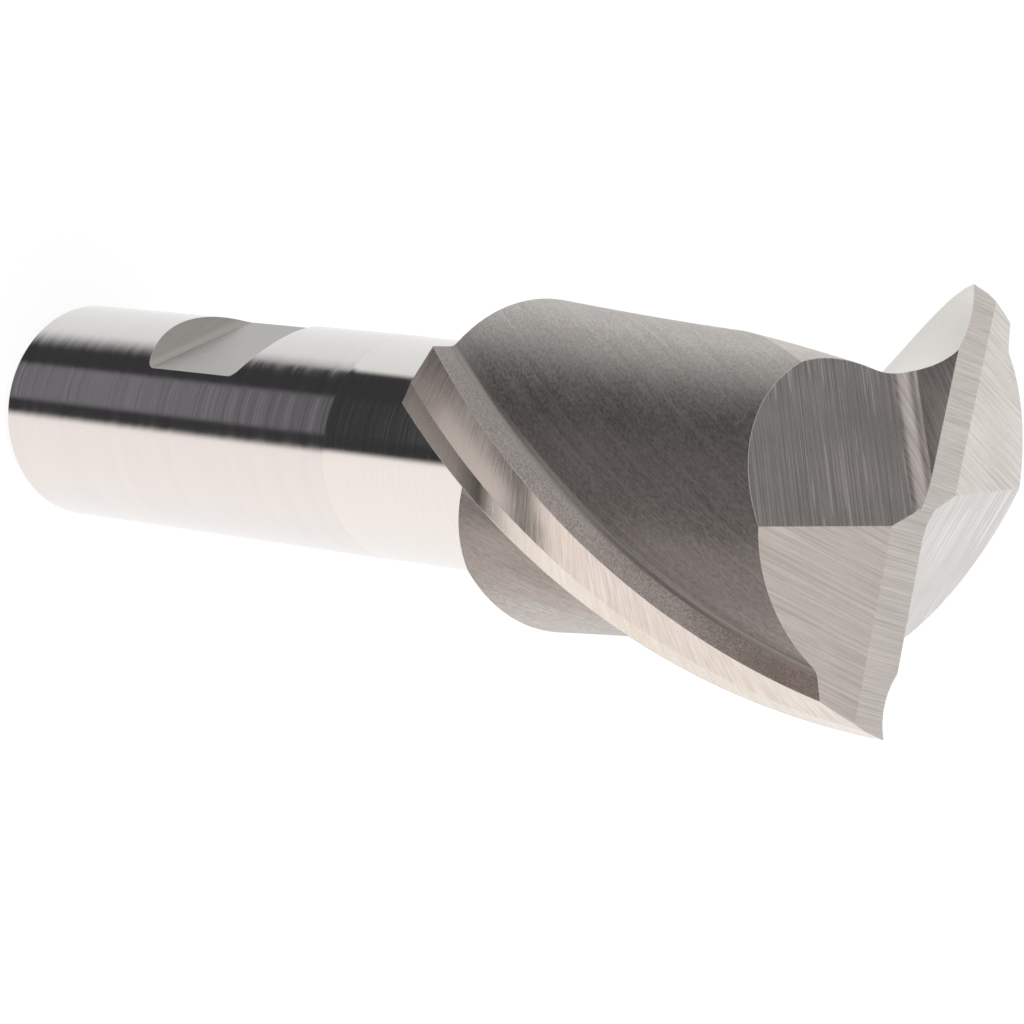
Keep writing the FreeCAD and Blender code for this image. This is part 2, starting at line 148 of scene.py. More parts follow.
def name_surfaces(piece, points, names, unroll):
    """Gives each face the finish of the outline's run that it was drawn from.

    unroll takes a face's centre back to the outline."""
    for finish in FINISHES.values():
        piece.data.materials.append(finish)
    order = list(FINISHES)
    middles = [(Vector(a) + Vector(b)) / 2 for a, b in zip(points, points[1:] + points[:1])]
    for face in piece.data.polygons:
        centre = unroll(face.center / MM)
        nearest = min(range(len(points)), key=lambda run: (middles[run] - centre).length_squared)
        face.material_index = order.index(names[nearest])


# Finishes

def colour(code):
    """Linear colour of a hex code."""
    parts = [int(code[start:start + 2], 16) / 255 for start in (1, 3, 5)]
    return (*[part / 12.92 if part <= 0.04045 else ((part + 0.055) / 1.055) ** 2.4 for part in parts], 1)


def add(tree, kind, inputs=None, stops=(), **settings):
    """A node with its settings and links. Gives its first output, or the node where it has none.

    inputs are values, or sockets to link, and stops are a colour ramp's (position, hex code)."""
    node = tree.nodes.new(kind)
    for key, value in settings.items():
        setattr(node, key, value)
    for key, value in (inputs or {}).items():
        if isinstance(value, bpy.types.NodeSocket):
            tree.links.new(value, node.inputs[key])
        else:
            node.inputs[key].default_value = value
    if stops:
        elements = node.color_ramp.elements
        while len(elements) < len(stops):
            elements.new(0.5)
        for element, (position, code) in zip(elements, stops):
            element.position = position
        for element, (position, code) in zip(elements, stops):
            element.color = colour(code)
    return node.outputs[0] if node.outputs else node


def millimetres(tree):
    """The tool's own coordinates in millimetres."""
    place = add(tree, "ShaderNodeTexCoord").node.outputs["Object"]
    return add(tree, "ShaderNodeVectorMath", {0: place, "Scale": 1 / MM}, operation="SCALE")


def helical(tree):
    """Millimetres with the helix taken out, so that the third axis runs along the flutes."""
    place = millimetres(tree)
    height = add(tree, "ShaderNodeSeparateXYZ", {0: place}).node.outputs["Z"]
    twist = math.tau / LEAD
    angle = add(tree, "ShaderNodeMath", {0: height, 1: -twist, 2: twist * OVERALL}, operation="MULTIPLY_ADD")
    return add(tree, "ShaderNodeVectorRotate", {"Vector": place, "Angle": angle}, rotation_type="Z_AXIS")


def around(tree):
    """Distance from the axis and height in millimetres, for marks left by turning."""
    parts = add(tree, "ShaderNodeSeparateXYZ", {0: millimetres(tree)}).node.outputs
    flat = add(tree, "ShaderNodeCombineXYZ", {0: parts["X"], 1: parts["Y"], 2: 0.0})
    radius = add(tree, "ShaderNodeVectorMath", {0: flat}, operation="LENGTH").node.outputs["Value"]
    return add(tree, "ShaderNodeCombineXYZ", {0: radius, 1: 0.0, 2: parts["Z"]})


def facet(tooth_axis, across, along):
    """A lay for a flat that both teeth have: millimetres across the grinding marks and along them.

    The sign of the coordinate tooth_axis tells one tooth from the other, and turns the second onto
    the first."""
    def lay(tree):
        place = millimetres(tree)
        parts = add(tree, "ShaderNodeSeparateXYZ", {0: place}).node
        side = add(tree, "ShaderNodeMath", {0: parts.outputs[tooth_axis]}, operation="SIGN")
        turn = add(tree, "ShaderNodeCombineXYZ", {0: side, 1: side, 2: 1.0})
        folded = add(tree, "ShaderNodeVectorMath", {0: place, 1: turn}, operation="MULTIPLY")
        steps = [add(tree, "ShaderNodeVectorMath", {0: folded, 1: way}, operation="DOT_PRODUCT").node
                 for way in (across, along)]
        first, second = [step.outputs["Value"] for step in steps]
        return add(tree, "ShaderNodeCombineXYZ", {0: first, 1: second, 2: side})
    return lay


def flat_lay(tree):
    """Millimetres up from the shank's flat, across it and along it."""
    turn = {"Vector": millimetres(tree), "Angle": -math.radians(FLAT_TURN)}
    return add(tree, "ShaderNodeVectorRotate", turn, rotation_type="Z_AXIS")


def pattern(tree, place, marks, specks, blend, crisp, scratches):
    """Marks, slow patches, specks and stray scratches in one value about a half, as steel describes them."""
    along = add(tree, "ShaderNodeVectorMath", {0: place, 1: marks}, operation="MULTIPLY")
    lines = add(tree, "ShaderNodeTexNoise",
                {"Vector": along, "Scale": 1.0, "Detail": 4.0, "Roughness": crisp})
    slow = add(tree, "ShaderNodeTexNoise",
               {"Vector": place, "Scale": 0.22, "Detail": 3.0, "Roughness": 0.55})
    speckled = add(tree, "ShaderNodeVectorMath", {0: place, 1: specks}, operation="MULTIPLY")
    dots = add(tree, "ShaderNodeTexNoise",
               {"Vector": speckled, "Scale": 1.0, "Detail": 2.0, "Roughness": 0.7})
    three = add(tree, "ShaderNodeCombineXYZ", {0: lines, 1: slow, 2: dots})
    mixed = add(tree, "ShaderNodeVectorMath", {0: three, 1: blend}, operation="DOT_PRODUCT")
    centred = (1 - sum(blend)) / 2
    mixed = add(tree, "ShaderNodeMath", {0: mixed.node.outputs["Value"], 1: centred})
    if scratches:
        spacing, strength = scratches
        stray = add(tree, "ShaderNodeVectorMath", {0: place, 1: spacing}, operation="MULTIPLY")
        hair = add(tree, "ShaderNodeTexNoise", {"Vector": stray, "Scale": 1.0, "Detail": 1.0})
        hair = add(tree, "ShaderNodeMapRange", {"Value": hair, "From Min": 0.64, "From Max": 0.72})
        mixed = add(tree, "ShaderNodeMath", {0: hair, 1: strength, 2: mixed}, operation="MULTIPLY_ADD")
    return mixed


# Edges are stoned lightly, which rounds their normals, and a bright hairline is painted along them, partly
# the stoned steel and partly a painted highlight: its width in millimetres, colour and strength, and the
# cosines of the angle between a face and its eased edge where the line starts and where it is full
HAIRLINE_WIDTH, HAIRLINE_WEAR_AND_HIGHLIGHT_TONE, HAIRLINE_WEAR_AND_HIGHLIGHT_STRENGTH = 0.1, "#F4F1EE", 0.55
HAIRLINE_START, HAIRLINE_FULL = 0.995, 0.9
# Where the wheel ran out along the land and the margin, as shares of the head's length from its rear
RUN_OUT_FULL, RUN_OUT_END = 0.2, 0.42


def steel(name, lay, marks, tones, roughness, depth, blend=(0.85, 0.15, 0.0), specks=(4.5, 4.5, 4.5),
          crisp=0.68, scratches=None, sheen=0.0, rear=0.0, ends=None):
    """Bare steel as a tool leaves it.

    lay gives the coordinates, in millimetres.
    marks is how many marks there are to a millimetre along each axis.
    tones are the darkest and lightest colours, and roughness is its range.
    depth is that of the marks, in micrometres.
    blend is how much the tone follows the marks, slow patches and specks.
    specks is how many of those there are to a millimetre along each axis.
    crisp is how much fine detail the marks have.
    scratches are stray light lines, as (how many to a millimetre along each axis, strength).
    sheen is a painted sheen: it lightens a rough face's colour where the face turns away from the eye.
    rear is how much rougher it is where the wheel ran out at the head's rear.
    ends are colours that it is multiplied by, as (share of the head's length from its rear, hex code)."""
    finish = bpy.data.materials.new(name)
    finish.use_nodes = True
    tree = finish.node_tree
    tree.nodes.clear()
    mixed = pattern(tree, lay(tree), marks, specks, blend, crisp, scratches)
    # the pattern keeps near a half, so that tones and roughness are spread over that part of its range
    tint = add(tree, "ShaderNodeValToRGB", {"Fac": mixed}, stops=((0.36, tones[0]), (0.64, tones[1])))
    dull = add(tree, "ShaderNodeMapRange", {"Value": mixed, "From Min": 0.35, "From Max": 0.65,
                                            "To Min": roughness[0], "To Max": roughness[1]})
    if ends or rear:
        height = add(tree, "ShaderNodeSeparateXYZ", {0: millimetres(tree)}).node.outputs["Z"]
        reach = add(tree, "ShaderNodeMapRange",
                    {"Value": height, "From Min": HEAD_START, "From Max": OVERALL})
    if ends:
        shade = add(tree, "ShaderNodeValToRGB", {"Fac": reach}, stops=ends)
        tint = add(tree, "ShaderNodeMix", {0: 1.0, 6: tint, 7: shade}, data_type="RGBA",
                   blend_type="MULTIPLY").node.outputs[2]
    if rear:
        more = add(tree, "ShaderNodeMapRange", {"Value": reach, "From Min": RUN_OUT_FULL,
                                                "From Max": RUN_OUT_END, "To Min": rear,
                                                "To Max": 0.0})
        dull = add(tree, "ShaderNodeMath", {0: dull, 1: more})
    # painted sheen: the colour is scaled lighter where the face turns away from the eye
    if sheen:
        facing = add(tree, "ShaderNodeLayerWeight", {"Blend": 0.5}).node.outputs["Facing"]
        gain = add(tree, "ShaderNodeMapRange", {"Value": facing, "From Min": 0.35, "From Max": 0.7,
                                                "To Min": 1.0, "To Max": 1 + sheen})
        tint = add(tree, "ShaderNodeVectorMath", {0: tint, "Scale": gain}, operation="SCALE")
    eased = add(tree, "ShaderNodeBevel", {"Radius": HAIRLINE_WIDTH * MM}, samples=6)
    surface = add(tree, "ShaderNodeNewGeometry").node.outputs["Normal"]
    level = add(tree, "ShaderNodeVectorMath", {0: eased, 1: surface}, operation="DOT_PRODUCT")
    # a bright hairline painted into the colour where the eased normal bends away: stoned steel and a painted
    # highlight
    hairline = add(tree, "ShaderNodeMapRange", {
        "Value": level.node.outputs["Value"], "From Min": HAIRLINE_START, "From Max": HAIRLINE_FULL,
        "To Min": 0.0, "To Max": HAIRLINE_WEAR_AND_HIGHLIGHT_STRENGTH})
    tint = add(tree, "ShaderNodeMix", {0: hairline, 6: tint, 7: colour(HAIRLINE_WEAR_AND_HIGHLIGHT_TONE)}, data_type="RGBA")
    raised = add(tree, "ShaderNodeBump", {"Strength": 1.0, "Distance": depth * 1e-6, "Height": mixed,
                                          "Normal": eased})
    shader = add(tree, "ShaderNodeBsdfPrincipled", {
        "Base Color": tint.node.outputs[2], "Metallic": 1.0, "Roughness": dull, "Normal": raised})
    add(tree, "ShaderNodeOutputMaterial", {"Surface": shader})
    return finish


# Lays of the flats at the cutting end: square to the end edge, slanting behind it, across and down the gash
BEHIND_EDGE = facet("X", (-1.0, 0.03, 0.0), (0.03, 0.99, 0.1))
FURTHER_BEHIND = facet("X", (-0.97, 0.22, 0.06), (0.2, 0.93, 0.31))
GASH_ACROSS = facet("Y", (0.14, -0.93, 0.34), (-0.9, 0.02, 0.43))
GASH_DOWN = facet("Y", (0.67, 0.0, 0.74), (-0.74, 0.0, 0.67))

# Real grinding and milling marks are some hundredths of a millimetre apart. That is too fine to show, so
# they are drawn as coarse as they need to be: from 0.13 mm apart on the gash to 1.4 mm on the shank.
FINISHES = {
    # Ground bright between centres: a mirror that smears the studio round the tool into faint rings
    "shank": steel("ground_shank", millimetres, (0.03, 0.03, 0.7), ("#F1EEEC", "#F4F1EF"), (0.08, 0.13), 32.0,
                   crisp=0.4, blend=(0.9, 0.1, 0.0)),
    # Ground finer than the shank: the cleanest and deepest mirror, with hardly a ring
    "neck": steel("ground_neck", millimetres, (0.05, 0.05, 5.0), ("#F5F2EF", "#FAF7F4"), (0.05, 0.12), 0.6),
    # Turned: dull rings round the axis, lighter and darker as they catch the light
    "shank_back": steel("turned_back", around, (5.0, 0.0, 0.0), ("#D6D2CE", "#E9E5E1"), (0.2, 0.32), 3.0),
    # Drilled: darker and duller than the face round it
    "centre_hole": steel("drilled_centre", around, (2.0, 0.0, 6.0), ("#A8A29D", "#CFC9C4"), (0.25, 0.4), 4.0),
    # Milled with a fine feed: an even satin grey that mirrors nothing
    "flat_floor": steel("milled_flat", flat_lay, (0.3, 0.5, 3.0), ("#BDBAB7", "#C9C7C4"), (0.3, 0.42), 3.0),
    # Cut by the side of the milling cutter: the same satin, a shade darker
    "flat_wall": steel("milled_flat_end", flat_lay, (1.0, 0.3, 3.0), ("#B0ABA6", "#BBB7B2"), (0.3, 0.45),
                       3.0),
    # Milled flute: dark and grainy, with a few light scores; a painted sheen makes it paler where it turns
    # away from the eye
    "core": steel("milled_flute", helical, (1.8, 1.8, 0.05), ("#777270", "#95918D"), (0.36, 0.5), 9.0,
                  blend=(0.35, 0.18, 0.8), specks=(5.6, 5.6, 2.4), scratches=((2.2, 2.2, 0.05), 0.12),
                  sheen=1.4),
    # Bottom of the milled flute: the same grain, paler and smoother, with a weaker painted sheen
    "shoulder": steel("milled_flute_bottom", helical, (2.2, 2.2, 0.05), ("#9B948F", "#BAB3AE"), (0.34, 0.46),
                      8.0, blend=(0.4, 0.3, 0.5), specks=(4.6, 4.6, 1.8), sheen=0.7),
    # Milled face ahead of the cutting edge: pale, with a fine grain along the flute, and a painted sheen
    "hook": steel("milled_face", helical, (3.0, 3.0, 0.05), ("#B4B1AC", "#C6C3BF"), (0.32, 0.44), 5.0,
                  blend=(0.5, 0.2, 0.3), specks=(4.6, 4.6, 1.8), sheen=0.9),
    # Rough ground behind the land: a speckled grey band between the bright land and the dark flute
    "heel": steel("ground_heel", helical, (4.0, 4.0, 0.15), ("#9B938E", "#C6BFBB"), (0.3, 0.45), 10.0,
                  blend=(0.3, 0.2, 1.1), specks=(7.0, 7.0, 7.0),
                  ends=((0.1, "#E8E8E8"), (0.5, "#FFFFFF"), (0.7, "#FFFFFF"), (0.9, "#C4BAB7"))),
    # Where the wheel's corner ran: close dark lines along the flute, with a faint painted sheen
    "fillet": steel("heel_root", helical, (6.0, 6.0, 0.03), ("#958E89", "#B6B0AC"), (0.3, 0.42), 4.0,
                    blend=(0.9, 0.1, 0.3), sheen=0.4,
                    ends=((0.0, "#D4D4D4"), (0.35, "#FFFFFF"), (0.8, "#D8D8D8"))),
    # Fine ground: bright and warm with short streaks, duller at the rear where the wheel ran out
    "land": steel("ground_land", millimetres, (0.35, 0.35, 5.0), ("#DFD5CE", "#F9F1E9"), (0.15, 0.24), 2.5,
                  blend=(0.9, 0.1, 0.0), rear=0.1, ends=((0.0, "#FDF8F7"), (0.6, "#FFFFFF"))),
    # Finest ground, beside the cutting edge: the brightest strip, dark only where the wheel ran out
    "margin": steel("ground_margin", millimetres, (0.3, 0.3, 4.0), ("#E9DED5", "#FDF9F0"), (0.15, 0.25), 2.5,
                    blend=(0.6, 0.3, 0.3), rear=0.1,
                    ends=((0.0, "#CECAC9"), (0.18, "#C8C4C2"), (0.25, "#8C8886"), (0.285, "#FFFFFF"))),
    # Ground flat behind the end edge: bright, with close straight lines square to the edge
    "end_relief": steel("ground_end_edge", BEHIND_EDGE, (6.0, 0.08, 1.0), ("#D2CECB", "#F6F2EE"), (0.2, 0.32),
                        2.5, crisp=0.75),
    # Ground flat behind that: slanting lines, a little warmer and coarser
    "end_clearance": steel("ground_end_behind", FURTHER_BEHIND, (4.5, 0.07, 1.0), ("#CAC4BE", "#F0EAE4"),
                           (0.22, 0.34), 3.0, crisp=0.75),
    # Ground with the flat of the wheel: grey or bright by its slope, lined from side to side
    "gash_floor": steel("ground_gash", GASH_ACROSS, (7.5, 0.05, 1.0), ("#BFBBB8", "#F1EDEA"), (0.2, 0.32),
                        3.0, crisp=0.75, scratches=((2.6, 0.1, 1.0), 0.3)),
    # Rounded by the wheel's corner: a soft light streak down the root of the gash
    "gash_wall": steel("ground_gash_corner", GASH_DOWN, (4.5, 0.05, 1.0), ("#B3ADA9", "#DFD9D6"),
                       (0.24, 0.34), 1.5, crisp=0.75),
    # Ground with the wheel's rim: darker lines down the face of the end tooth
    "gash_face": steel("ground_tooth_face", GASH_DOWN, (4.5, 0.08, 1.0), ("#908B87", "#B9B3B0"), (0.2, 0.32),
                       3.0, crisp=0.75),
    # Faced in the lathe: dull rings round the axis
    "head_back": steel("faced_head_back", around, (4.0, 0.0, 0.0), ("#B5AEA9", "#D5CEC8"), (0.2, 0.34), 3.0),
}
# The flat's bends are finished as its ends are, and have a name of their own because they run into both sides
FINISHES["flat_bend"] = FINISHES["flat_wall"]


# Section across the two teeth

def section_half():
    """Corners of the first half as (name of the surface that starts there, points), corner to far corner."""
    corner, far_corner = polar(CUT_RADIUS, 0), polar(CUT_RADIUS, 180)
    land = corner + polar(MARGIN_WIDTH, -90 - MARGIN_RELIEF)
    heel = land + polar(LAND_WIDTH, -90 - LAND_RELIEF)
    outside = polar(HEEL_FILLET, HEEL_SLOPE - 90)
    inwards = polar(1, 180 + HEEL_SLOPE)
    fillet = meet_circle(heel + outside, inwards, CORE_CENTRE, CORE_RADIUS + HEEL_FILLET, -1)
    valley = fillet - outside
    root = CORE_CENTRE + (fillet - CORE_CENTRE) * (CORE_RADIUS / (CORE_RADIUS + HEEL_FILLET))
    crease = meet_circle(Vector((0, 0)), polar(1, 180 + CREASE_TURN), CORE_CENTRE, CORE_RADIUS, 1)
    rake = far_corner - polar(HOOK_RADIUS, 90 + RADIAL_RAKE)
    across = crease - rake
    centres = HOOK_RADIUS + SHOULDER_RADIUS
    along = (centres ** 2 - SHOULDER_RADIUS ** 2 + across.length_squared) / (2 * across.length)
    aside = math.sqrt(centres ** 2 - along ** 2)
    shoulder = rake + (across * along + across.orthogonal() * aside) / across.length
    hook = rake + (shoulder - rake) * (HOOK_RADIUS / centres)
    return [
        ("margin", [corner, corner.lerp(land, 0.5)]),
        ("land", [land, land.lerp(heel, 0.33), land.lerp(heel, 0.67)]),
        ("heel", [heel, heel.lerp(valley, 0.5)]),
        ("fillet", arc(fillet, valley, root, 5, 1)),
        ("core", arc(CORE_CENTRE, root, crease, 26, -1)),
        ("shoulder", arc(shoulder, crease, hook, 12, -1)),
        ("hook", arc(rake, hook, far_corner, 16, 1)),
    ]


def make_head():
    """The section carried up the helix, then its end relieved and gashed for each tooth."""
    half = [point for surface, points in section_half() for point in points]
    names = [surface for surface, points in section_half() for point in points]
    whole = half + [-point for point in half]
    rise = HEAD_LENGTH + END_STOCK
    head = outline("head", whole, False)
    untwist = Matrix.Rotation(-math.tau * HEAD_LENGTH / LEAD, 4, "Z")
    place(head, Matrix.Translation((0, 0, HEAD_START)) @ untwist)
    apply(head, "SCREW", axis="Z", angle=math.tau * rise / LEAD, screw_offset=rise * MM,
          steps=HEAD_STEPS, render_steps=HEAD_STEPS, use_merge_vertices=False)
    edit((bpy.ops.mesh.remove_doubles, {"threshold": WELD}),
         (bpy.ops.mesh.fill_holes, {"sides": 0}),
         (bpy.ops.mesh.normals_make_consistent, {"inside": False}))
    name_surfaces(head, whole, names * 2,
                  lambda centre: Matrix.Rotation(-math.tau * (centre.z - OVERALL) / LEAD, 2) @ centre.xy)
    # only the two flat ends have more than four corners
    for face in head.data.polygons:
        if len(face.vertices) > 4:
            face.material_index = list(FINISHES).index("head_back")
    for turn in (0, math.pi):
        combine(head, relief_cutter(turn), "DIFFERENCE")
        combine(head, gash_cutter(turn), "DIFFERENCE")
    return head


# An outline drawn across the tool: its X is the world's Y and its Y the world's Z
ACROSS = Matrix(((0, 0, 1, 0), (1, 0, 0, 0), (0, 1, 0, 0), (0, 0, 0, 1)))
# An outline drawn along the tool: its X is the world's X and its Y the world's Z
UPRIGHT = Matrix(((1, 0, 0, 0), (0, 0, 1, 0), (0, 1, 0, 0), (0, 0, 0, 1)))


def relief_cutter(turn):
    """What the grinding wheel takes off behind one end edge."""
    primary, secondary = math.tan(math.radians(END_RELIEF)), math.tan(math.radians(END_CLEARANCE))
    back, front, high = 2 * CUT_RADIUS, GASH_FILLET, 3 * END_STOCK
    step = END_MARGIN * primary
    points = [(-END_MARGIN, -step), (-back, -step - (back - END_MARGIN) * secondary), (-back, high),
              (front, high), (front, front * primary)]
    drop = math.tan(math.radians(END_DISH)) * CUT_RADIUS
    dish = Matrix.Rotation(math.radians(-END_DISH), 4, "Y")
    finishes = ["end_clearance", "end_clearance", "end_clearance", "gash_face", "end_relief"]
    return prism("relief_cutter", points, finishes, 2 * CUT_RADIUS,
                 Matrix.Rotation(turn, 4, "Z") @ Matrix.Translation((0, 0, OVERALL - drop)) @ dish @ ACROSS)


def gash_cutter(turn):
    """What the wheel takes off ahead of one end edge."""
    slope = math.radians(GASH_SLOPE)
    far, high = 2 * CUT_RADIUS, 2 * CUT_RADIUS
    drop = GASH_FILLET * math.tan((math.pi / 2 - slope) / 2)
    wall_foot = Vector((EDGE_AHEAD, drop))
    floor_foot = Vector((EDGE_AHEAD + drop * math.cos(slope), -drop * math.sin(slope)))
    bend = arc(Vector((EDGE_AHEAD + GASH_FILLET, drop)), wall_foot, floor_foot, 8, 1)
    floor_end = (far, -(far - EDGE_AHEAD) * math.tan(slope))
    points = [(EDGE_AHEAD, high), *bend, floor_foot, floor_end, (far, high)]
    fall = Matrix.Rotation(math.radians(GASH_FALL), 4, "Y")
    finishes = ["gash_face"] + ["gash_wall"] * len(bend) + ["gash_floor"] * 3
    return prism("gash_cutter", points, finishes, 6 * CUT_RADIUS,
                 Matrix.Rotation(turn, 4, "Z") @ Matrix.Translation((0, 0, OVERALL - GASH_DEPTH)) @ fall
                 @ ACROSS @ Matrix.Translation((0, 0, -3 * CUT_RADIUS)))


def make_shank():
    """The turned shank with its centre hole and flat; its last stretch goes into the head."""
    profile = [
        (0, CENTRE_DEPTH + CENTRE_PILOT / math.tan(math.radians(CENTRE_POINT))),
        (CENTRE_PILOT, CENTRE_DEPTH),
        (CENTRE_PILOT, (CENTRE_MOUTH - CENTRE_PILOT) / math.tan(math.radians(CENTRE_CONE))),
        (CENTRE_MOUTH, 0),
        (SHANK_RADIUS - CHAMFER, 0),
        (SHANK_RADIUS, CHAMFER / math.tan(math.radians(CHAMFER_ANGLE))),
        (SHANK_RADIUS, SHANK_LENGTH),
        (NECK_RADIUS, SHANK_LENGTH + NECK_TAPER),
        (NECK_RADIUS, HEAD_START - NECK_FLARE),
        (NECK_RADIUS + NECK_FLARE, HEAD_START),
        (NECK_RADIUS + NECK_FLARE, HEAD_START + INTO_HEAD),
        (0, HEAD_START + INTO_HEAD),
    ]
    shank = outline("shank", [(radius, 0, height) for radius, height in profile], False)
    bpy.ops.object.mode_set(mode="EDIT")
    bpy.ops.mesh.select_all(action="DESELECT")
    bpy.ops.object.mode_set(mode="OBJECT")
    last = len(profile) - 1
    for edge in shank.data.edges:
        edge.select = set(edge.vertices) == {0, last}
    bpy.ops.object.mode_set(mode="EDIT")
    bpy.ops.mesh.select_mode(type="EDGE")
    bpy.ops.mesh.delete(type="EDGE")
    bpy.ops.object.mode_set(mode="OBJECT")
    apply(shank, "SCREW", axis="Z", angle=math.tau, steps=SHANK_STEPS, render_steps=SHANK_STEPS,
          use_merge_vertices=True, merge_threshold=WELD)
    edit((bpy.ops.mesh.remove_doubles, {"threshold": WELD}),
         (bpy.ops.mesh.normals_make_consistent, {"inside": False}))
    runs = ["centre_hole"] * 3 + ["shank_back"] + ["shank"] * 2 + ["neck"] * 6
    name_surfaces(shank, profile, runs, lambda centre: Vector((centre.xy.length, centre.z)))
    combine(shank, flat_cutter(), "DIFFERENCE")
    return shank


def flat_cutter():
    """What the milling cutter takes off the shank, with its filleted corners."""
    floor, outside = SHANK_RADIUS - FLAT_DEPTH, SHANK_RADIUS + FLAT_DEPTH
    spread = FLAT_HALF + 2 * FLAT_DEPTH / math.tan(math.radians(FLAT_WALL))
    setback = FLAT_FILLET * math.tan(math.radians(FLAT_WALL / 2))
    wall = polar(setback, FLAT_WALL)
    inner = Vector((floor + FLAT_FILLET, FLAT_HALF - setback))
    wall_foot = Vector((floor + wall.y, FLAT_HALF + wall.x))
    bend = arc(inner, Vector((floor, FLAT_HALF - setback)), wall_foot, 6, -1)
    upper = [*bend, wall_foot, Vector((outside, spread))]
    lower = [Vector((point.x, -point.y)) for point in reversed(upper)]
    points = [point + Vector((0, FLAT_CENTRE)) for point in lower + upper]
    bends = ["flat_bend"] * len(bend)
    finishes = ["flat_wall", *bends, "flat_floor", *bends, "flat_wall", "flat_wall"]
    return prism("flat_cutter", points, finishes, 4 * SHANK_RADIUS,
                 Matrix.Rotation(math.radians(FLAT_TURN), 4, "Z") @ UPRIGHT
                 @ Matrix.Translation((0, 0, -2 * SHANK_RADIUS)))


# An edge is crisp above this angle, and between any two finishes but the neighbours that run into each other
CRISP_ABOVE = 20.0
RUNNING = [{"fillet", "core"}, {"heel", "fillet"}, {"shoulder", "hook"}, {"flat_wall", "flat_bend"},
           {"flat_floor", "flat_bend"}, {"gash_face", "gash_wall"}]


def soften(piece):
    """Smooth faces between crisp edges."""
    order = list(FINISHES)
    beside = {}
    for face in piece.data.polygons:
        for key in face.edge_keys:
            beside.setdefault(key, set()).add(order[face.material_index])
    select_only(piece)
    bpy.ops.object.shade_smooth_by_angle(angle=math.radians(CRISP_ABOVE))
    for edge in piece.data.edges:
        names = beside[tuple(sorted(edge.vertices))]
        if len(names) > 1 and names not in RUNNING:
            edge.use_edge_sharp = True


tool = make_head()
combine(tool, make_shank(), "UNION")
tool.name = "ground_end_mill"
tool.data.name = "ground_end_mill"
soften(tool)
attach(tool, "root")
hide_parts("end_mill")


# Floor, light and camera

def make_floor():
    """A pale floor that the camera sees white but for the tool's soft shadow."""
    bpy.ops.object.select_all(action="DESELECT")
    bpy.ops.mesh.primitive_plane_add(size=6.0)
    floor = bpy.context.object
    floor.name = "floor"
    paper = bpy.data.materials.new("white_paper")
    paper.use_nodes = True
    tree = paper.node_tree
    tree.nodes.clear()
    # White paper, matt and even: it glows white for the camera, and its faint matt part takes the soft shadow
    ray = add(tree, "ShaderNodeLightPath").node.outputs["Is Camera Ray"]
    shown = add(tree, "ShaderNodeEmission", {"Color": colour("#FFFFFF"), "Strength": 0.9})
    matt = add(tree, "ShaderNodeBsdfDiffuse", {"Color": colour("#E8E8E8")})
    faint = add(tree, "ShaderNodeBsdfDiffuse", {"Color": colour("#686868")})
    lit = add(tree, "ShaderNodeAddShader", {0: shown, 1: faint})
    mixed = add(tree, "ShaderNodeMixShader", {0: ray, 1: matt, 2: lit})
    add(tree, "ShaderNodeOutputMaterial", {"Surface": mixed})
    floor.data.materials.append(paper)
    floor.visible_glossy = False


# The studio round the tool, by direction in degrees. WALLS are its tones all round, as (share of the turn
# from -180 to 180 degrees, tone). SCREENS stand before them, as (tone, span round the tool, span upwards),
# where a span is (from, half the width of its soft border, to, half the width of that one).
WALLS = ((0.0, "#DFE0E0"), (0.1, "#DDDBDA"), (0.33, "#F6EFEC"), (0.5, "#F9F4F1"), (0.61, "#F9F7F6"),
         (0.75, "#FCFCFC"), (0.86, "#EDEEEE"), (1.0, "#DFE0E0"))
SCREENS = (
    # the ceiling, and a grey screen high on one side, which the gash sees
    ("#D4D0CD", (-200.0, 1.0, 200.0, 1.0), (18.0, 14.0, 162.0, 14.0)),
    ("#7F7D7C", (138.0, 10.0, 198.0, 10.0), (21.0, 6.0, 61.0, 6.0)),
    # the dark curtain that the shank, the neck and the flute see, in two overlapping parts, and its paler top
    ("#373739", (-163.0, 15.0, -70.5, 5.0), (-110.0, 2.0, -50.5, 1.5)),
    ("#353537", (-159.0, 4.0, -72.0, 4.0), (-52.5, 1.5, -20.0, 8.0)),
    ("#8A8784", (-127.0, 8.0, -83.0, 8.0), (-22.0, 8.0, 2.0, 8.0)),
    # a pale window between two grey ones, which the land and the margin see
    ("#9C9C9D", (-150.0, 4.0, -122.5, 4.0), (-41.5, 2.0, -26.0, 3.0)),
    ("#ECE8E7", (-122.5, 4.0, -80.5, 4.0), (-41.5, 2.0, -26.0, 3.0)),
    ("#7C7C7C", (-80.5, 4.0, -66.0, 3.0), (-41.5, 2.0, -26.0, 3.0)),
    # the greyer middle of the shank's dark band, with two slats across it
    ("#817E83", (-127.0, 4.0, -88.0, 4.0), (-110.0, 2.0, -50.5, 1.5)),
    ("#545256", (-127.0, 4.0, -88.0, 4.0), (-56.2, 0.8, -54.8, 0.8)),
    ("#545256", (-127.0, 4.0, -88.0, 4.0), (-52.8, 0.8, -51.4, 0.8)),
)


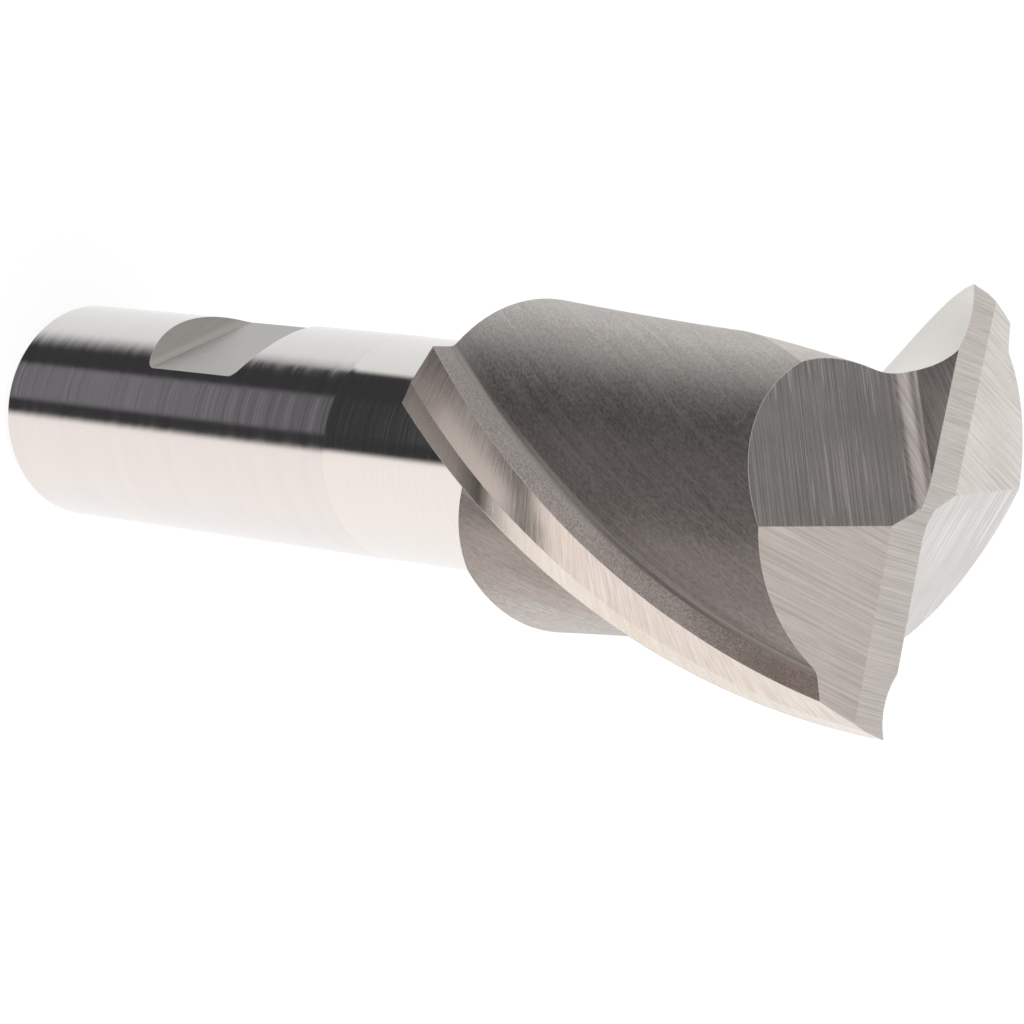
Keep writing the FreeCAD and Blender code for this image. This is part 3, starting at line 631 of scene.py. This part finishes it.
def make_world():
    """A studio that is plain white to the camera. Everything else sees its walls and screens."""
    world = bpy.data.worlds.new("studio")
    bpy.context.scene.world = world
    world.use_nodes = True
    tree = world.node_tree
    tree.nodes.clear()
    toward = add(tree, "ShaderNodeTexCoord").node.outputs["Generated"]
    parts = add(tree, "ShaderNodeSeparateXYZ", {0: toward}).node.outputs
    turn = add(tree, "ShaderNodeMath", {0: parts["Y"], 1: parts["X"]}, operation="ARCTAN2")
    turn = add(tree, "ShaderNodeMath", {0: turn}, operation="DEGREES")
    rise = add(tree, "ShaderNodeMath", {0: parts["Z"]}, operation="ARCSINE")
    rise = add(tree, "ShaderNodeMath", {0: rise}, operation="DEGREES")

    def within(value, low, low_fade, high, high_fade):
        """One between these degrees and nothing outside, fading across each border."""
        middle, half = (low + high) / 2, (high - low) / 2
        offset = add(tree, "ShaderNodeMath", {0: value, 1: -middle})
        offset = add(tree, "ShaderNodeMath", {0: offset, 1: 180.0, 2: -180.0}, operation="WRAP")
        borders = []
        for edge, fade, start in ((-half, low_fade, 0.0), (half, high_fade, 1.0)):
            step = {"Value": offset, "From Min": edge - fade, "From Max": edge + fade,
                    "To Min": start, "To Max": 1 - start}
            borders.append(add(tree, "ShaderNodeMapRange", step, interpolation_type="SMOOTHSTEP"))
        return add(tree, "ShaderNodeMath", {0: borders[0], 1: borders[1]}, operation="MULTIPLY")

    share = add(tree, "ShaderNodeMapRange", {"Value": turn, "From Min": -180.0, "From Max": 180.0})
    seen = add(tree, "ShaderNodeValToRGB", {"Fac": share}, stops=WALLS)
    for tone, across, upwards in SCREENS:
        spans = {0: within(turn, *across), 1: within(rise, *upwards)}
        mask = add(tree, "ShaderNodeMath", spans, operation="MULTIPLY")
        covered = add(tree, "ShaderNodeMix", {0: mask, 6: seen, 7: colour(tone)}, data_type="RGBA")
        seen = covered.node.outputs[2]
    ray = add(tree, "ShaderNodeLightPath").node.outputs["Is Camera Ray"]
    plain = add(tree, "ShaderNodeBackground", {"Color": colour("#FFFFFF"), "Strength": 1.0})
    walls = add(tree, "ShaderNodeBackground", {"Color": seen, "Strength": 1.0})
    mixed = add(tree, "ShaderNodeMixShader", {0: ray, 1: walls, 2: plain})
    add(tree, "ShaderNodeOutputWorld", {"Surface": mixed})


def make_lamp():
    """A soft square lamp over the tool, aimed at its middle, for the shadow on the floor."""
    spot = Vector((0.25, 0.15, 1.0))
    bpy.ops.object.light_add(type="AREA", location=spot)
    lamp = bpy.context.object
    lamp.name = "overhead_lamp"
    lamp.data.size = 0.8
    lamp.data.energy = 6.0
    lamp.visible_glossy = False
    middle = Vector((0, 0, 0.055))
    lamp.rotation_euler = (middle - spot).to_track_quat("-Z", "Y").to_euler()


def make_camera():
    """The camera where the tool's axis, edges and section line up with the picture."""
    spot = (0.02785265, -0.26470990, 0.36971060)
    turn = [math.radians(angle) for angle in (-6.51277851, -40.28710192, 105.12089344)]
    bpy.ops.object.camera_add(location=spot, rotation=turn)
    camera = bpy.context.object
    camera.data.sensor_width = 36.0
    camera.data.lens = 174.6426
    camera.data.clip_start = 0.01
    bpy.context.scene.camera = camera


make_floor()
make_world()
make_lamp()
make_camera()
bpy.context.scene.view_settings.view_transform = "Standard"
